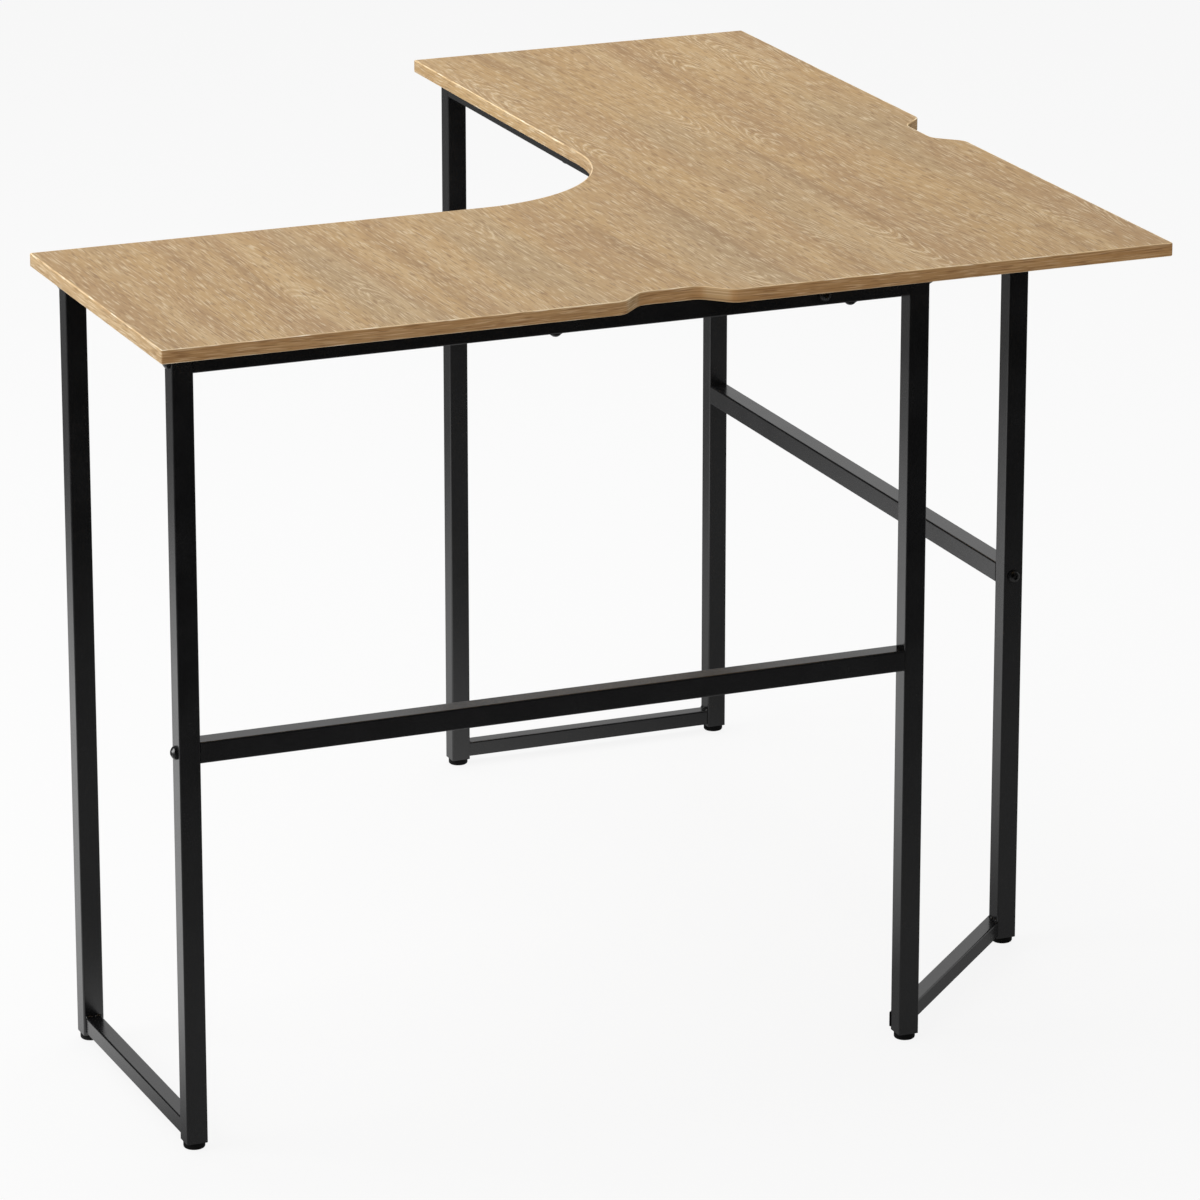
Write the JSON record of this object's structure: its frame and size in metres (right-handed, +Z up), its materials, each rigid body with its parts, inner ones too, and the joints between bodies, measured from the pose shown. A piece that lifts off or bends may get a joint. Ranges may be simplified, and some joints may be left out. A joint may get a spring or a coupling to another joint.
{
  "type": "corner desk",
  "caption": "L-shaped corner desk: one-piece oak-laminate top with a rounded inner corner and cable notches, on a black square-tube frame with levelling feet.",
  "frame": {"origin": "on the floor under the middle of the square footprint", "axes": "+Z up, +X along the right wing's back edge towards the outer corner, +Y along the left wing's back edge away from it"},
  "size_m": [0.93, 0.93, 0.72],
  "materials": {
    "oak_laminate": "printed oak laminate, matt with fine grain",
    "oak_edge_band": "printed oak edge band, matt",
    "black_powder_coat": "satin black powder coat, fine texture",
    "black_bolt": "black oxide, satin",
    "zinc_steel": "zinc plated",
    "black_plastic": "moulded black plastic, matt"
  },
  "bodies": {
    "frame": {"desktop_panel": "oak_laminate", "edge_band": "oak_edge_band", "right_end_front_leg": "black_powder_coat", "right_end_back_leg": "black_powder_coat", "right_corner_leg": "black_powder_coat", "left_end_front_leg": "black_powder_coat", "left_end_back_leg": "black_powder_coat", "left_corner_leg": "black_powder_coat", "right_end_top_rail": "black_powder_coat", "right_end_bottom_rail": "black_powder_coat", "right_back_rail": "black_powder_coat", "right_front_rail": "black_powder_coat", "right_stretcher": "black_powder_coat", "left_end_top_rail": "black_powder_coat", "left_end_bottom_rail": "black_powder_coat", "left_back_rail": "black_powder_coat", "left_front_rail": "black_powder_coat", "left_stretcher": "black_powder_coat", "corner_top_rail": "black_powder_coat", "corner_bottom_rail": "black_powder_coat", "frame_bolts": "black_bolt", "bolt_washers": "black_bolt", "rail_end_nuts": "zinc_steel", "rail_blocks": "black_powder_coat", "panel_screws": "black_bolt", "screw_washers": "black_bolt", "leg_inserts": "black_plastic"},
    "right_end_front_foot": {"right_end_front_foot_pad": "black_plastic", "right_end_front_foot_stem": "zinc_steel"},
    "right_end_back_foot": {"right_end_back_foot_pad": "black_plastic", "right_end_back_foot_stem": "zinc_steel"},
    "right_corner_foot": {"right_corner_foot_pad": "black_plastic", "right_corner_foot_stem": "zinc_steel"},
    "left_end_front_foot": {"left_end_front_foot_pad": "black_plastic", "left_end_front_foot_stem": "zinc_steel"},
    "left_end_back_foot": {"left_end_back_foot_pad": "black_plastic", "left_end_back_foot_stem": "zinc_steel"},
    "left_corner_foot": {"left_corner_foot_pad": "black_plastic", "left_corner_foot_stem": "zinc_steel"}
  },
  "joints": [
    {"name": "right_end_front_foot_adjust", "type": "slide", "parent": "frame", "child": "right_end_front_foot", "axis": [0, 0, -1], "range_m": [0, 0.01]},
    {"name": "right_end_back_foot_adjust", "type": "slide", "parent": "frame", "child": "right_end_back_foot", "axis": [0, 0, -1], "range_m": [0, 0.01]},
    {"name": "right_corner_foot_adjust", "type": "slide", "parent": "frame", "child": "right_corner_foot", "axis": [0, 0, -1], "range_m": [0, 0.01]},
    {"name": "left_end_front_foot_adjust", "type": "slide", "parent": "frame", "child": "left_end_front_foot", "axis": [0, 0, -1], "range_m": [0, 0.01]},
    {"name": "left_end_back_foot_adjust", "type": "slide", "parent": "frame", "child": "left_end_back_foot", "axis": [0, 0, -1], "range_m": [0, 0.01]},
    {"name": "left_corner_foot_adjust", "type": "slide", "parent": "frame", "child": "left_corner_foot", "axis": [0, 0, -1], "range_m": [0, 0.01]}
  ]
}
